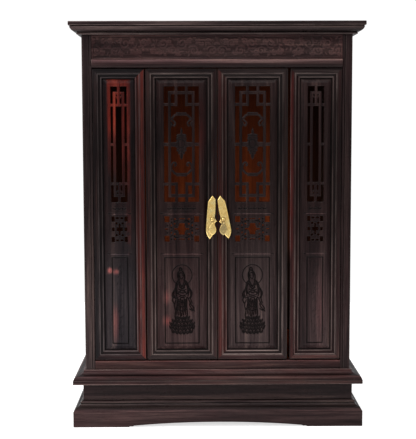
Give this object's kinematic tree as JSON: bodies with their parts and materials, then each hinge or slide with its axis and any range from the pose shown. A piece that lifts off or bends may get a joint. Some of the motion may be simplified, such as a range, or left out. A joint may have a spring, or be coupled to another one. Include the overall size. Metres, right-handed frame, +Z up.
{
  "type": "household altar cabinet",
  "caption": "Dark rosewood household altar cabinet with moulded crown, stepped base, pierced hinged doors between pierced side lights, and brass drop pulls.",
  "frame": {"origin": "on the floor, under the middle of the cabinet's outline", "axes": "+Z up, +X to the right and -Y towards the viewer as one faces the doors"},
  "size_m": [0.3602, 0.2296, 0.5],
  "materials": {
    "dark_rosewood": "satin wax over dark rosewood with purple-brown streaks",
    "red_rosewood": "satin wax over rosewood that is redder than the rest",
    "inner_rosewood": "plain planed wood inside the case, orange-brown",
    "brass": "brushed brass with softened edges"
  },
  "bodies": {
    "case": {"back_board": "inner_rosewood", "back_left_post": "dark_rosewood", "back_right_post": "dark_rosewood", "base_skirt_back": "dark_rosewood", "base_skirt_front": "dark_rosewood", "base_skirt_left": "dark_rosewood", "base_skirt_right": "dark_rosewood", "base_top_board": "dark_rosewood", "bottom_rail": "dark_rosewood", "crown_board": "dark_rosewood", "floor_board": "inner_rosewood", "frieze_board": "dark_rosewood", "front_left_post": "dark_rosewood", "front_right_post": "dark_rosewood", "head_rail": "dark_rosewood", "ledge_board": "dark_rosewood", "left_light_bottom_rail": "red_rosewood", "left_light_left_stile": "red_rosewood", "left_light_panel": "red_rosewood", "left_light_right_stile": "red_rosewood", "left_light_top_rail": "red_rosewood", "left_side_bottom_rail": "dark_rosewood", "left_side_panel": "dark_rosewood", "left_side_top_rail": "dark_rosewood", "right_light_bottom_rail": "dark_rosewood", "right_light_left_stile": "dark_rosewood", "right_light_panel": "dark_rosewood", "right_light_right_stile": "dark_rosewood", "right_light_top_rail": "dark_rosewood", "right_side_bottom_rail": "dark_rosewood", "right_side_panel": "dark_rosewood", "right_side_top_rail": "dark_rosewood", "waist_board_back": "dark_rosewood", "waist_board_front": "dark_rosewood", "waist_board_left": "dark_rosewood", "waist_board_right": "dark_rosewood"},
    "left_door": {"left_door_bottom_rail": "dark_rosewood", "left_door_left_stile": "dark_rosewood", "left_door_panel": "dark_rosewood", "left_door_right_stile": "dark_rosewood", "left_door_top_rail": "dark_rosewood", "left_pull_plate": "brass", "left_pull_pin": "brass"},
    "right_door": {"right_door_bottom_rail": "dark_rosewood", "right_door_left_stile": "dark_rosewood", "right_door_panel": "dark_rosewood", "right_door_right_stile": "dark_rosewood", "right_door_top_rail": "dark_rosewood", "right_pull_plate": "brass", "right_pull_pin": "brass"},
    "left_drop": {"left_pull_drop": "brass"},
    "right_drop": {"right_pull_drop": "brass"}
  },
  "joints": [
    {"name": "left_door_hinge", "type": "hinge", "parent": "case", "child": "left_door", "pos_m": [-0.0847, -0.0958, 0.2629], "axis": [0, 0, -1], "range_deg": [0, 105]},
    {"name": "right_door_hinge", "type": "hinge", "parent": "case", "child": "right_door", "pos_m": [0.0836, -0.0958, 0.2629], "axis": [0, 0, 1], "range_deg": [0, 105]},
    {"name": "left_drop_swing", "type": "hinge", "parent": "left_door", "child": "left_drop", "pos_m": [-0.0063, -0.1033, 0.2586], "axis": [-1, 0, 0], "range_deg": [0, 90]},
    {"name": "right_drop_swing", "type": "hinge", "parent": "right_door", "child": "right_drop", "pos_m": [0.0072, -0.1033, 0.2586], "axis": [-1, 0, 0], "range_deg": [0, 90]}
  ]
}
